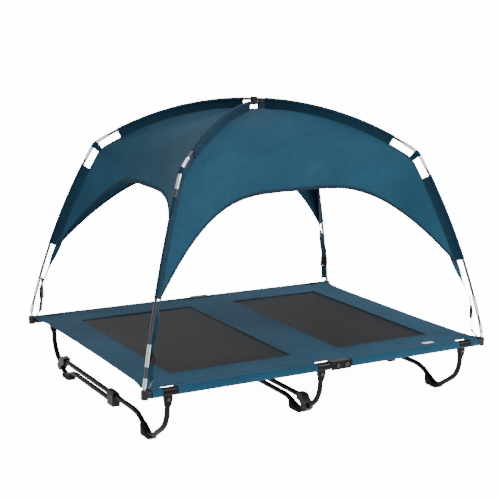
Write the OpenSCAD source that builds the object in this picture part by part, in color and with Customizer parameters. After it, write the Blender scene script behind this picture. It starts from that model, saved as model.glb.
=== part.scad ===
// Raised dog bed on three folding leg frames, with a lift-off crossed-pole canopy.
// Origin: centre of the bed on the floor. +X along the rails, +Y to the back, +Z up.

/* [Bed] */
// Length over the corner caps
bed_l = 1220; // [1020:10:1470]
// Distance between the centre lines of the two rails
rail_span = 914; // [780:2:1100]
// Height of the rail centre lines above the floor
rail_z = 180; // [165:1:216]
// Outside diameter of the rail tube
rail_d = 22; // [19:0.5:25]
// Wall of the rail tube
rail_wall = 1.2; // [1:0.1:2]
// Place of the folding hinge along the rails
hinge_x = 65.5; // [50:0.5:90]

/* [Corner caps] */
// Length of the cap's round head on the rail line
cap_head_l = 18; // [14:1:26]
// Diameter of the round head
cap_head_d = 24; // [23:0.5:30]
// Diameter of the upright pole socket
cap_boss_d = 21; // [19:1:28]
// Height of the socket rim above the rail centre
cap_rim_h = 13; // [12:1:24]
// Depth of the pole socket
socket_depth = 16; // [12:1:20]
// Length of the plug inside the rail
cap_plug_l = 28; // [15:1:40]

/* [Deck] */
// Thickness of the deck cloth
cloth_t = 2; // [1:0.5:3]
// Height of the cloth's underside above the rail centre
cloth_rise = 8.5; // [6:0.5:9]
// Distance from the cloth's end edge to the end of the caps
cloth_inset = 25; // [18:1:45]
// Width of the cloth border along the rails, rail centre to mesh
border_side = 117; // [90:1:150]
// Width of the cloth border at the two ends, cap end to mesh
border_end = 145; // [110:1:190]
// Half width of the cloth band at the middle of the bed
band_half = 87; // [50:1:100]
// Centre of that band along the rails
band_x = 32; // [20:1:45]
// Lap of the mesh under the cloth
mesh_lap = 12; // [8:1:20]
// Thickness of the mesh
mesh_t = 1.5; // [1:0.5:2.5]

/* [Legs] */
// Outside diameter of the leg tube
leg_d = 16; // [14:0.5:19]
// Wall of the leg tube
leg_wall = 1.2; // [1:0.1:2]
// Distance of the end leg frames from the ends of the bed
leg_end = 86; // [50:1:180]
// Place of the middle leg frame along the rails
mid_leg_x = -12.5; // [-25:0.5:-5]
// Drop from the rail centre to the leg pivot
pivot_drop = 25; // [22:0.5:30]
// Distance of the leg pivot tab inside the rail centre
tab_inset = 8; // [6:0.5:9]
// Width of the flattened leg top
tab_w = 25; // [20:1:26]
// Thickness of the flattened leg top
tab_t = 6; // [5:0.5:8]
// Distance of the foot bends inside the rail centre
foot_inset = 125; // [100:1:150]
// Height of the tube's centre at the foot
foot_z = 12; // [11:0.5:16]
// Height of the upper cross tube
upper_bar_z = 55; // [52:1:70]
// Height of the lower cross tube
lower_bar_z = 33; // [28:1:34]
// Distance of the pivot hub from the middle of the bed
hub_y = 63; // [40:1:100]
// Distance of the clip's tube end inside the rail centre
clip_inset = 105; // [97:1:112]

/* [Canopy] */
// Diameter of the pole rod
rod_d = 8.5; // [7:0.5:10]
// How far the elbow stands inside the pole foot
elbow_inset = 213; // [180:1:240]
// How far the elbow stands above the pole foot
elbow_rise = 554; // [480:1:660]
// Bow of the lower rod outside its chord
lower_bow = 20; // [10:1:30]
// Bend of the elbow tube, in degrees
elbow_bend = 29.5; // [24:0.5:31]
// Bend radius of the elbow tube
elbow_r = 100; // [70:5:140]
// Gap between the two poles where they cross
cross_gap = 2; // [1.5:0.5:5.5]
// Width of the pole pocket between the rod and the roof cloth
pocket_w = 27; // [20:1:35]
// Thickness of the roof cloth
roof_t = 2; // [1.5:0.5:3]
// Inward sag of each roof panel at its edge
roof_sag = 55; // [0:1:70]
// Length of the roof along the pole, apex to tip
roof_tip = 930; // [860:5:960]
// Length of the roof at the middle of each arch
arch_top = 650; // [600:2:700]
// Sharpness of the arch shoulders
arch_power = 3.7; // [2.2:0.1:4.4]
// Sharpness of the sag towards the poles
sag_power = 3.5; // [2:0.5:6]

/* [Straps] */
// Width of the webbing
strap_w = 20; // [15:1:24]
// Thickness of the webbing
strap_t = 1.6; // [1.2:0.1:2.5]
// Height of the buckle's parting line above the cap rim
buckle_rise = 92; // [75:1:110]

/* [Hidden] */
$fn = 64;
bend_sides = 96;
long_sides = 360;
rod_sides = 48;

// Clearances
fit_gap = 0.05;     // pins, rivets and tubes in their holes
body_gap = 0.3;     // between pieces that move past each other
sleeve_gap = 0.4;   // cloth sleeve round a rail or a rod

// Rails and deck
rail_r = rail_d / 2;
rail_y = rail_span / 2;
sleeve_r = rail_r + sleeve_gap + cloth_t;
cap_x = bed_l / 2 - cap_boss_d / 2;
cap_head_x = cap_x - cap_head_l;
cloth_z = rail_z + cloth_rise;
cloth_end = bed_l / 2 - cloth_inset;
split_gap = 0.7;
notch_y = rail_y - sleeve_r - 4;
mesh_y = rail_y - border_side;
mesh_end = bed_l / 2 - border_end;
mesh_in_left = band_x - band_half;
mesh_in_right = band_x + band_half;
leg_x = bed_l / 2 - leg_end;
clip_y = rail_y - clip_inset;
cross_step = rod_d + cross_gap;

// Brackets, hinge and rivets
band_t = 2;
band_l = 45;
ear_t = 2;
ear_w = tab_w + 1;
pivot_z = rail_z - pivot_drop;
tab_y = rail_y - tab_inset;
rivet_r = 3;
rivet_head_r = 5.5;
rivet_head_t = 2;
cut_gap = 1.5;
hinge_reach = rail_r + 8.5;
hinge_tail = hinge_x - mid_leg_x - band_l / 2 - body_gap;
hinge_wall = 2;
hinge_in = rail_r + body_gap;
hinge_fix_x = hinge_x - 32;
hinge_pin_r = 4;
hinge_head_r = 7;

// Leg frames
leg_r = leg_d / 2;
down_slope = 34;
flat_z = pivot_z - ear_w / 2 - 0.5;
neck_l = 7.5;
top_z = flat_z - neck_l;
top_in = 3;
knee_in = 8;
knee_r = 88;
upper_foot_r = 46;
upper_slope = 30;
lower_foot_r = 58;
lower_slope = 17.5;
bar_bend_r = 120;
foot_y = rail_y - foot_inset;
bend_lap = 2;
bend_swell = 0.15;
plug_l = 9;
hub_l = 44;
hub_w = 26;
hub_top_r = 11.5;
hub_low = lower_bar_z - leg_r - 3;
clip_w = 25;
pad_w = 23;
pad_run = 38;

// Canopy poles, worked out in the upright plane through each pair of corners:
// every arc's centre is on the inner side, so one normal angle runs from foot to apex.
rod_r = rod_d / 2;
knuckle_r = 6.2;
foot_h = rail_z + cap_rim_h + knuckle_r + cross_step / 2 + 1.5;
foot_s = norm([cap_x, rail_y]);
diag = atan2(rail_y, cap_x);
chord_l = norm([elbow_inset, elbow_rise]);
chord_a = atan2(elbow_inset, elbow_rise);
lower_r = chord_l * chord_l / (8 * lower_bow) + lower_bow / 2;
half_a = asin(chord_l / 2 / lower_r);
foot_a = chord_a - half_a;
elbow_a = chord_a + half_a;
crown_a = elbow_a + elbow_bend;
elbow_s = foot_s - elbow_inset;
crown_s = elbow_s - 2 * elbow_r * sin(elbow_bend / 2) * sin(elbow_a + elbow_bend / 2);
crown_z = foot_h + elbow_rise
    + 2 * elbow_r * sin(elbow_bend / 2) * cos(elbow_a + elbow_bend / 2);
upper_r = crown_s / cos(crown_a);
lower_c = [foot_s - lower_r * cos(foot_a), foot_h - lower_r * sin(foot_a)];
elbow_c = [elbow_s - elbow_r * cos(elbow_a), foot_h + elbow_rise - elbow_r * sin(elbow_a)];
upper_c = [0, crown_z - upper_r * sin(crown_a)];
apex_z = upper_c[1] + upper_r;
deg_l = 3.14159265 / 180;
upper_l = upper_r * (90 - crown_a) * deg_l;
elbow_l = elbow_r * elbow_bend * deg_l;
// Normal angle of the pole at a length q from the apex
function angle_at(q) = q < upper_l ? 90 - q / upper_r / deg_l
    : q < upper_l + elbow_l ? crown_a - (q - upper_l) / elbow_r / deg_l
    : elbow_a - (q - upper_l - elbow_l) / lower_r / deg_l;
// Distance from the middle and height, at q from the apex and off inside the rod's line
function pole_at(q, off) = q < upper_l
    ? upper_c + (upper_r - off) * [cos(angle_at(q)), sin(angle_at(q))]
    : q < upper_l + elbow_l
    ? elbow_c + (elbow_r - off) * [cos(angle_at(q)), sin(angle_at(q))]
    : lower_c + (lower_r - off) * [cos(angle_at(q)), sin(angle_at(q))];
ferrule_t = 1.3;
elbow_grip = 30;
rod_end = body_gap / upper_r / deg_l;
ferrule_l = 62;
ferrule_at = 120;
tip_l = 26;
tip_pin_r = 4;
tip_gap = 0.5;
tip_pin_z = rail_z + cap_rim_h - socket_depth + body_gap;
pocket_t = 1.8;
ring_t = 1;
upper_pocket = [36, upper_l - 66];
lower_pocket = [upper_l + elbow_l + 56, roof_tip];
tab_pocket = [upper_l + elbow_l / 2 - 11, upper_l + elbow_l / 2 + 11];
roof_start = 6;
roof_cols = 16;
roof_rows = 12;
roof_edge_gap = 1.6;
tie_r = 11;
tie_gap = 0.15;

// Straps and buckles, down the inner side of each pole
strap_top = pole_at(roof_tip, pocket_w);
buckle_z = rail_z + cap_rim_h + buckle_rise;
buckle_s = foot_s - 37;
buckle_w = 26;
buckle_t = 9;
plug_head_h = 9;
tongue = [18, 4.4, 16];
socket_h = 27;
tongue_gap = 0.5;
ring_wire = 2.4;
ring_bore_r = ring_wire * 0.71 + body_gap;
lug_s = foot_s - 16;
lug_z = rail_z + cap_head_d / 2 + 3;
lug_w = 4;
lug_r = 4;
lug_h = 12;
ring_top_s = foot_s - 31;
ring_top_z = lug_z + 20;

module ring_shape(ro, ri) {
    difference() {
        circle(ro);
        circle(ri);
    }
}

// Tube along X from x0 to x1
module x_tube(x0, x1, ro, ri) {
    translate([x0, 0, 0]) rotate([0, 90, 0]) linear_extrude(x1 - x0) ring_shape(ro, ri);
}

module x_rod(x0, x1, r) {
    translate([x0, 0, 0]) rotate([0, 90, 0]) cylinder(r = r, h = x1 - x0);
}

module y_rod(y0, y1, r) {
    translate([0, y0, 0]) rotate([-90, 0, 0]) cylinder(r = r, h = y1 - y0);
}

// Rails ----------------------------------------------------------------

// side is -1 at the front and 1 at the back
module rail_left(side) {
    color("dimgray") translate([0, side * rail_y, rail_z]) difference() {
        x_tube(-cap_head_x, hinge_x - rail_r - 1, rail_r, rail_r - rail_wall);
        translate([hinge_fix_x, 0, 0]) y_rod(-rail_d, rail_d, hinge_pin_r + fit_gap);
    }
}

module rail_right(side) {
    color("dimgray") translate([0, side * rail_y, rail_z]) difference() {
        intersection() {
            x_tube(hinge_x - rail_r, cap_head_x, rail_r, rail_r - rail_wall);
            union() {
                translate([hinge_x, 0, 0]) y_rod(-rail_d, rail_d, rail_r);
                translate([hinge_x, -rail_d, -rail_d]) cube([bed_l, 2 * rail_d, 2 * rail_d]);
            }
        }
        translate([hinge_x, 0, 0]) y_rod(-rail_d, rail_d, hinge_pin_r + fit_gap);
    }
}

// end is -1 on the left and 1 on the right
module corner_cap(end, side) {
    color("black") translate([0, side * rail_y, rail_z]) mirror([end > 0 ? 0 : 1, 0, 0])
    difference() {
        union() {
            x_rod(cap_head_x + body_gap, cap_x, cap_head_d / 2);
            x_rod(cap_head_x - cap_plug_l, cap_x - 1, rail_r - rail_wall - fit_gap);
            translate([cap_x, 0, -cap_head_d / 2 - 1])
                cylinder(d = cap_boss_d, h = cap_head_d / 2 + 1 + cap_rim_h);
            cap_lug(side);
        }
        translate([cap_x, 0, cap_rim_h - socket_depth])
            cylinder(r = tip_pin_r + tip_gap, h = socket_depth + 1);
        lug_bore(side);
    }
}

// Places its children on the strap's lug, with +X out along the diagonal
module at_lug(side) {
    translate([lug_s * cos(diag), side * (lug_s * sin(diag) - rail_y), lug_z - rail_z])
        rotate([0, 0, side * diag]) children();
}

module cap_lug(side) {
    at_lug(side) {
        y_rod(-lug_w / 2, lug_w / 2, lug_r);
        translate([-lug_r, -lug_w / 2, -lug_h]) cube([2 * lug_r + 2, lug_w, lug_h]);
    }
}

module lug_bore(side) {
    at_lug(side) y_rod(-lug_w, lug_w, ring_bore_r);
}

// Deck -----------------------------------------------------------------

module sleeve_tube(x0, x1, side) {
    translate([0, side * rail_y, rail_z])
        x_tube(x0, x1, sleeve_r, sleeve_r - cloth_t);
}

module rail_cut(x0, x1, side) {
    y0 = side > 0 ? notch_y : -rail_y - 2 * sleeve_r;
    translate([x0, y0, 0]) cube([x1 - x0, rail_y + 2 * sleeve_r - notch_y, bed_l]);
}

module deck_sheet(x0, x1) {
    seam_y = rail_y - 8;
    difference() {
        union() {
            translate([x0, -seam_y, cloth_z]) cube([x1 - x0, 2 * seam_y, cloth_t]);
            for (side = [-1, 1]) sleeve_tube(x0, x1, side);
        }
        children();
    }
}

module mesh_hole(x0, x1) {
    translate([x0, -mesh_y, cloth_z - 1]) cube([x1 - x0, 2 * mesh_y, cloth_t + 2]);
}

module bracket_cut(x, side) {
    rail_cut(x - band_l / 2 - cut_gap, x + band_l / 2 + cut_gap, side);
}

module deck_cloth_left() {
    color("steelblue") deck_sheet(-cloth_end, hinge_x - split_gap) {
        mesh_hole(-mesh_end, mesh_in_left);
        for (side = [-1, 1]) {
            rail_cut(-bed_l, -cap_head_x + body_gap, side);
            bracket_cut(-leg_x, side);
            rail_cut(mid_leg_x - band_l / 2 - cut_gap, bed_l, side);
        }
    }
}

module deck_cloth_right() {
    color("steelblue") deck_sheet(hinge_x + split_gap, cloth_end) {
        mesh_hole(mesh_in_right, mesh_end);
        for (side = [-1, 1]) {
            rail_cut(cap_head_x - body_gap, bed_l, side);
            bracket_cut(leg_x, side);
            rail_cut(-bed_l, hinge_x + hinge_reach + cut_gap, side);
        }
    }
}

module mesh_panel(x0, x1) {
    color("darkslategray") translate([x0 - mesh_lap, -mesh_y - mesh_lap, cloth_z - mesh_t])
        cube([x1 - x0 + 2 * mesh_lap, 2 * (mesh_y + mesh_lap), mesh_t]);
}

// Hinges ---------------------------------------------------------------

// Channel over the joint: closed on top, so the rails stop when they are in line
module hinge_bracket(side) {
    h = rail_r + body_gap + hinge_wall;
    color("black") translate([hinge_x, side * rail_y, rail_z]) difference() {
        intersection() {
            translate([-hinge_tail, -h, -rail_r - 2])
                cube([hinge_tail + hinge_reach, 2 * h, rail_r + 2 + h]);
            union() {
                y_rod(-2 * h, 2 * h, hinge_reach);
                translate([-bed_l, -2 * h, -2 * h]) cube([bed_l, 4 * h, 4 * h]);
            }
        }
        translate([-bed_l, -hinge_in, -2 * h]) cube([2 * bed_l, 2 * hinge_in, 2 * h + hinge_in]);
        for (x = [0, hinge_fix_x - hinge_x])
            translate([x, 0, 0]) y_rod(-2 * h, 2 * h, hinge_pin_r + fit_gap);
    }
}

module hinge_pin_at(x, side) {
    h = rail_r + body_gap + hinge_wall + fit_gap;
    translate([x, side * rail_y, rail_z]) {
        y_rod(-h - rivet_head_t, h + rivet_head_t, hinge_pin_r);
        y_rod(h, h + rivet_head_t, hinge_head_r);
        y_rod(-h - rivet_head_t, -h, hinge_head_r);
    }
}

module hinge_pins() {
    color("silver") for (side = [-1, 1], x = [hinge_x, hinge_fix_x]) hinge_pin_at(x, side);
}

// Leg brackets and rivets ----------------------------------------------

// Band round the rail with two ears that hang inside its centre line
module leg_bracket(x, side) {
    in0 = tab_inset - tab_t / 2 - body_gap;
    in1 = tab_inset + tab_t / 2 + body_gap;
    color("black") translate([x, side * rail_y, rail_z]) mirror([0, side > 0 ? 0 : 1, 0])
    difference() {
        union() {
            x_rod(-band_l / 2, band_l / 2, rail_r + fit_gap + band_t);
            ear(-in0);
            ear(-in1 - ear_t);
        }
        x_rod(-band_l, band_l, rail_r + fit_gap);
        translate([0, -tab_inset, -pivot_drop])
            y_rod(-tab_w, tab_w, rivet_r + fit_gap);
    }
}

module ear(y) {
    translate([0, y, -pivot_drop]) {
        translate([-ear_w / 2, 0, 0]) cube([ear_w, ear_t, pivot_drop]);
        y_rod(0, ear_t, ear_w / 2);
    }
}

module leg_rivet(x, side) {
    reach = tab_t / 2 + body_gap + ear_t + fit_gap;
    translate([x, side * tab_y, pivot_z]) {
        y_rod(-reach - rivet_head_t, reach + rivet_head_t, rivet_r);
        y_rod(reach, reach + rivet_head_t, rivet_head_r);
        y_rod(-reach - rivet_head_t, -reach, rivet_head_r);
    }
}

// Leg frames -----------------------------------------------------------

function unit(v) = v / norm(v);
// Corner of the two tangents of a bend whose lowest point is at [y, z]
function foot_corner(y, z, r, down, up) =
    [y, z + r] + r / cos((down + up) / 2) * [sin((up - down) / 2), -cos((up - down) / 2)];
// Path of a leg tube in its own plane, from the rail inwards
function leg_path(r, slope, bar_z, end_y) =
    let (foot = foot_corner(-foot_y, foot_z, r, down_slope, slope),
        rise = (bar_z - foot[1]) / tan(slope),
        knee = [-tab_y + knee_in, 0],
        knee_z = foot[1] + (foot[0] - knee[0]) * tan(down_slope))
    [[-tab_y + top_in, top_z], [knee[0], knee_z], foot, [foot[0] + rise, bar_z],
        [end_y, bar_z]];
upper_path = leg_path(upper_foot_r, upper_slope, upper_bar_z, clip_y);
upper_bends = [knee_r, upper_foot_r, bar_bend_r];
lower_path = leg_path(lower_foot_r, lower_slope, lower_bar_z, hub_y + hub_l / 2 - 4);
lower_bends = [knee_r, lower_foot_r, bar_bend_r];

function turn(p, i) = let (a = p[i] - p[i - 1], b = p[i + 1] - p[i])
    atan2(a[0] * b[1] - a[1] * b[0], a * b);
function trim(p, bends, i) =
    i < 1 || i > len(bends) ? 0 : bends[i - 1] * tan(abs(turn(p, i)) / 2);

// Round rod along a path in the XY plane. The bends are a little fuller than the straights
// and run past their ends, as a tube does where it is bent on a former.
module bent_rod(p, bends, r) {
    for (i = [0 : len(p) - 2]) {
        d = p[i + 1] - p[i];
        t0 = trim(p, bends, i);
        l = norm(d) - t0 - trim(p, bends, i + 1);
        translate(concat(p[i] + unit(d) * t0, 0)) rotate([0, 0, atan2(d[1], d[0])])
            x_rod(0, l, r);
    }
    for (i = [1 : len(bends)]) {
        d = unit(p[i] - p[i - 1]);
        w = turn(p, i);
        hand = w > 0 ? 1 : -1;
        c = p[i] - d * trim(p, bends, i) + hand * bends[i - 1] * [-d[1], d[0]];
        a0 = atan2(d[1], d[0]) - 90 * hand;
        over = bend_lap / bends[i - 1] / deg_l;
        translate(concat(c, 0)) rotate([0, 0, (w > 0 ? a0 : a0 + w) - over])
            rotate_extrude(angle = abs(w) + 2 * over, $fn = bend_sides)
            translate([bends[i - 1], 0]) circle(r + bend_swell);
    }
}

// Stands a leg drawing up across the bed; flip turns the frame end for end
module leg_place(x, flip) {
    translate([x, 0, 0]) rotate([0, 0, flip ? 180 : 0]) rotate([90, 0, 90]) children();
}

// Leg tube with its flattened, flared top and rivet hole
module leg_tube(path, bends) {
    bore = concat([path[0] + plug_l * unit(path[1] - path[0])],
        [for (i = [1 : len(path) - 2]) path[i]], [path[len(path) - 1] + [1, 0]]);
    difference() {
        union() {
            bent_rod(path, bends, leg_r);
            leg_neck(path);
            translate([-tab_y - tab_t / 2 + 0.2, flat_z - 1, 0.4 - tab_w / 2])
                cube([tab_t - 0.4, pivot_z - flat_z + 1, tab_w - 0.8]);
            translate([-tab_y - tab_t / 2, pivot_z, 0]) x_rod(0, tab_t, tab_w / 2);
        }
        bent_rod(bore, bends, leg_r - leg_wall);
        translate([-tab_y - tab_t, pivot_z, 0]) x_rod(0, 2 * tab_t, rivet_r + fit_gap);
    }
}

// Flare between the flat top and the round tube
module leg_neck(path) {
    d = unit(path[1] - path[0]);
    hull() {
        translate([-tab_y, flat_z - 0.5, 0])
            cube([tab_t - 0.4, 1, tab_w - 0.8], center = true);
        translate(concat(path[0] + 3 * d, 0)) rotate([0, 0, atan2(d[1], d[0])])
            rotate([0, 90, 0]) cylinder(r = leg_r - 0.3, h = 1, $fn = 32);
    }
}

module leg_upper(x, flip) {
    color("black") leg_place(x, flip) {
        leg_tube(upper_path, upper_bends);
    }
}

module leg_lower(x, flip) {
    color("black") leg_place(x, !flip) {
        leg_tube(lower_path, lower_bends);
    }
}

// Hub where the lower tube ends under the upper one
module leg_hub(x, flip) {
    top = upper_bar_z + leg_r - 4;
    color("black") leg_place(x, flip) difference() {
        union() {
            translate([-hub_y - hub_l / 2, hub_low, -hub_w / 2])
                cube([hub_l, top - hub_low, hub_w]);
            translate([-hub_y - hub_l / 2, top, 0]) rotate([0, 90, 0])
                cylinder(r = hub_top_r, h = hub_l);
        }
        bent_rod(upper_path, upper_bends, leg_r + fit_gap);
        mirror([1, 0, 0]) bent_rod(lower_path, lower_bends, leg_r + fit_gap);
    }
}

// Clip that hooks the end of the upper tube down to the other leg
module leg_clip(x, flip) {
    color("black") leg_place(x, flip) difference() {
        translate([0, 0, -clip_w / 2]) linear_extrude(clip_w) polygon([
            [clip_y - 22, upper_bar_z - leg_r - 3], [clip_y - 22, upper_bar_z + leg_r + 3],
            [clip_y + 8, upper_bar_z + leg_r + 4], [clip_y + 22, upper_bar_z - 2],
            [clip_y + 42, upper_bar_z - 24], [clip_y + 24, upper_bar_z - 40],
            [clip_y + 6, upper_bar_z - 26], [clip_y - 4, upper_bar_z - leg_r - 6]]);
        bent_rod(upper_path, upper_bends, leg_r + fit_gap);
        mirror([1, 0, 0]) bent_rod(lower_path, lower_bends, leg_r + fit_gap);
    }
}

// Tread that cradles the tube just inside its foot bend
module foot_pad(r, slope) {
    y = -foot_y;
    run_z = foot_z + r * (1 - cos(slope)) + (pad_run + 12 - r * sin(slope)) * tan(slope);
    translate([0, 0, -pad_w / 2]) linear_extrude(pad_w) polygon([
        [y - 18, foot_z], [y - 16, 3], [y - 8, 0], [y + pad_run, 0],
        [y + pad_run + 10, 4], [y + pad_run + 12, run_z], [y + 10, foot_z]]);
}

module leg_feet(x, flip) {
    color([0.08, 0.08, 0.08]) {
        leg_place(x, flip) difference() {
            foot_pad(upper_foot_r, upper_slope);
            bent_rod(upper_path, upper_bends, leg_r + fit_gap);
        }
        leg_place(x, !flip) difference() {
            foot_pad(lower_foot_r, lower_slope);
            bent_rod(lower_path, lower_bends, leg_r + fit_gap);
        }
    }
}

// Canopy poles ---------------------------------------------------------

// Turns a drawing in the X-Z plane to the diagonal of one corner
module at_corner(end, side) {
    rotate([0, 0, end > 0 ? side * diag : 180 - side * diag]) children();
}

// Height of one pole above or below the mean: the front-left one passes underneath
function step_of(end, side) = end * side < 0 ? cross_step / 2 : -cross_step / 2;

// Sweeps a 2D profile (x = outward from the rod's line) round one arc of the pole
module pole_arc(centre, r, a0, a1) {
    translate([centre[0], 0, centre[1]]) rotate([90, 0, 0]) rotate([0, 0, a0])
        rotate_extrude(angle = a1 - a0, $fn = r > elbow_r ? long_sides : bend_sides)
        translate([r, 0]) let ($fn = rod_sides) children();
}

// The same along the upper, elbow or lower stretch, from q0 to q1
module on_upper(q0, q1) {
    pole_arc(upper_c, upper_r, angle_at(q1), angle_at(q0)) children();
}

module on_elbow(q0, q1) {
    pole_arc(elbow_c, elbow_r, angle_at(q1), angle_at(q0)) children();
}

module on_lower(q0, q1) {
    pole_arc(lower_c, lower_r, angle_at(q1), angle_at(q0)) children();
}

elbow_q = upper_l + elbow_l;
foot_q = elbow_q + lower_r * (elbow_a - foot_a) * deg_l;

module lower_rod(end, side) {
    color("black") at_corner(end, side) translate([0, 0, step_of(end, side)])
        on_lower(elbow_q + body_gap, foot_q - knuckle_r - 2) circle(rod_r);
}

// Upper rod, elbow to elbow
module upper_rod(end, side) {
    color("black") at_corner(end, side) translate([0, 0, step_of(end, side)])
        pole_arc(upper_c, upper_r, crown_a + rod_end, 180 - crown_a - rod_end) circle(rod_r);
}

// Bent tube that both rods push into, with a narrower bore in the bend as their stop
module elbow_core(grip_r, bend_r) {
    over = bend_lap / elbow_r / deg_l;
    on_upper(upper_l - elbow_grip, upper_l) circle(grip_r);
    pole_arc(elbow_c, elbow_r, elbow_a - over, crown_a + over) circle(bend_r);
    on_lower(elbow_q, elbow_q + elbow_grip) circle(grip_r);
}

module elbows() {
    r = rod_r + fit_gap;
    color("silver") for (end = [-1, 1], side = [-1, 1])
        at_corner(end, side) translate([0, 0, step_of(end, side)]) difference() {
            elbow_core(r + ferrule_t, r + ferrule_t + bend_swell);
            elbow_core(r, rod_r - 0.4);
        }
}

// Joint ferrules low on each pole, and the tips that stand in the corner caps
module ferrules() {
    q = foot_q - ferrule_at;
    color("silver") for (end = [-1, 1], side = [-1, 1]) at_corner(end, side) {
        translate([0, 0, step_of(end, side)]) {
            on_lower(q, q + ferrule_l)
                ring_shape(rod_r + fit_gap + ferrule_t, rod_r + fit_gap);
            on_lower(foot_q - tip_l, foot_q)
                ring_shape(rod_r + fit_gap + ferrule_t, rod_r + fit_gap);
            translate([foot_s, 0, foot_h]) sphere(knuckle_r);
        }
        translate([foot_s, 0, tip_pin_z])
            cylinder(r = tip_pin_r, h = foot_h + step_of(end, side) - tip_pin_z);
    }
}

// Roof -----------------------------------------------------------------

function edge_at(u) = roof_tip - (roof_tip - arch_top) * (1 - pow(abs(u), arch_power));
// Point of a panel: u across it, v from apex to edge, off inside the poles
function roof_pt(u, v, off, wide, deep) =
    let (q = roof_start + (edge_at(u) - roof_start) * v, p = pole_at(q, off),
        w = max(0, p[0] * wide - roof_edge_gap / deep),
        sag = roof_sag * (1 - pow(abs(u), sag_power)) * v * v)
    [u * w, -p[0] * deep + sag, p[1] + step_mean];
step_mean = -cross_step / 2;

module roof_panel(wide, deep) {
    n = roof_cols + 1;
    m = roof_rows + 1;
    pts = [for (off = [pocket_w + body_gap, pocket_w + body_gap + roof_t], i = [0 : roof_cols],
        j = [0 : roof_rows]) roof_pt(2 * i / roof_cols - 1, j / roof_rows, off, wide, deep)];
    function k(s, i, j) = s * n * m + i * m + j;
    skin = [for (i = [0 : roof_cols - 1], j = [0 : roof_rows - 1]) each [
        [k(0, i, j), k(0, i + 1, j + 1), k(0, i + 1, j)], [k(0, i, j), k(0, i, j + 1), k(0, i + 1, j + 1)],
        [k(1, i, j), k(1, i + 1, j), k(1, i + 1, j + 1)], [k(1, i, j), k(1, i + 1, j + 1), k(1, i, j + 1)]]];
    rim_u = [for (i = [0 : roof_cols - 1]) each [
        [k(0, i, 0), k(0, i + 1, 0), k(1, i + 1, 0)], [k(0, i, 0), k(1, i + 1, 0), k(1, i, 0)],
        [k(0, i, m - 1), k(1, i + 1, m - 1), k(0, i + 1, m - 1)],
        [k(0, i, m - 1), k(1, i, m - 1), k(1, i + 1, m - 1)]]];
    rim_v = [for (j = [0 : roof_rows - 1]) each [
        [k(0, 0, j), k(1, 0, j + 1), k(0, 0, j + 1)], [k(0, 0, j), k(1, 0, j), k(1, 0, j + 1)],
        [k(0, n - 1, j), k(0, n - 1, j + 1), k(1, n - 1, j + 1)],
        [k(0, n - 1, j), k(1, n - 1, j + 1), k(1, n - 1, j)]]];
    polyhedron(points = pts, faces = concat(skin, rim_u, rim_v), convexity = 4);
}

module roof_front() {
    color("teal") roof_panel(cos(diag), sin(diag));
}

module roof_back() {
    color("teal") rotate([0, 0, 180]) roof_panel(cos(diag), sin(diag));
}

module roof_left() {
    color("teal") rotate([0, 0, -90]) roof_panel(sin(diag), cos(diag));
}

module roof_right() {
    color("teal") rotate([0, 0, 90]) roof_panel(sin(diag), cos(diag));
}

// Flat pockets that hold the roof on the poles, with a narrow tab at each elbow
module pocket_shape(hold_r) {
    difference() {
        union() {
            circle(hold_r + ring_t);
            translate([-pocket_w, -pocket_t / 2]) square([pocket_w, pocket_t]);
        }
        circle(hold_r);
    }
}

module pole_sleeves() {
    color("cadetblue") for (end = [-1, 1], side = [-1, 1])
        at_corner(end, side) translate([0, 0, step_of(end, side)]) {
            on_upper(upper_pocket[0], upper_pocket[1]) pocket_shape(rod_r + sleeve_gap);
            on_lower(lower_pocket[0], lower_pocket[1]) pocket_shape(rod_r + sleeve_gap);
            on_elbow(tab_pocket[0], tab_pocket[1])
                pocket_shape(rod_r + fit_gap + ferrule_t + bend_swell + body_gap);
        }
}

// Tie that holds the two poles together where they cross
module apex_tie() {
    color("black") difference() {
        translate([0, 0, apex_z - cross_step / 2 - rod_r - 3])
            cylinder(r = tie_r, h = cross_step + 2 * rod_r + 6);
        for (over = [-1, 1]) translate([0, 0, apex_z + over * cross_step / 2])
            rotate([0, 0, over > 0 ? -diag : diag]) x_rod(-2 * tie_r, 2 * tie_r, rod_r + tie_gap);
    }
}

// Straps and buckles ---------------------------------------------------

// Flat webbing between two points of a corner's diagonal plane
module webbing(p0, p1) {
    d = p1 - p0;
    translate([p0[0], 0, p0[1]]) rotate([0, atan2(d[0], d[1]), 0])
        translate([-strap_t / 2, -strap_w / 2, 0]) cube([strap_t, strap_w, norm(d)]);
}

module canopy_straps() {
    color("teal") for (end = [-1, 1], side = [-1, 1]) at_corner(end, side)
        webbing([buckle_s, buckle_z + plug_head_h + body_gap],
            strap_top + [-strap_t / 2, step_of(end, side) - 3]);
}

// Plug: a head that the strap ends on, and a tongue that points down into the socket
module buckle_plugs() {
    color("black") for (end = [-1, 1], side = [-1, 1]) at_corner(end, side)
        translate([buckle_s, 0, buckle_z]) {
            translate([-buckle_t / 2, -buckle_w / 2, 0]) cube([buckle_t, buckle_w, plug_head_h]);
            translate([-tongue[1] / 2, -tongue[0] / 2, -tongue[2]])
                cube([tongue[1], tongue[0], tongue[2] + 1]);
        }
}

module buckle_socket(end, side) {
    color("black") at_corner(end, side) translate([buckle_s, 0, buckle_z - body_gap]) difference() {
        translate([-buckle_t / 2, -buckle_w / 2, -socket_h]) cube([buckle_t, buckle_w, socket_h]);
        translate([-tongue[1] / 2 - tongue_gap, -tongue[0] / 2 - tongue_gap, -tongue[2] - tongue_gap])
            cube([tongue[1] + 2 * tongue_gap, tongue[0] + 2 * tongue_gap, tongue[2] + 2]);
    }
}

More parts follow.
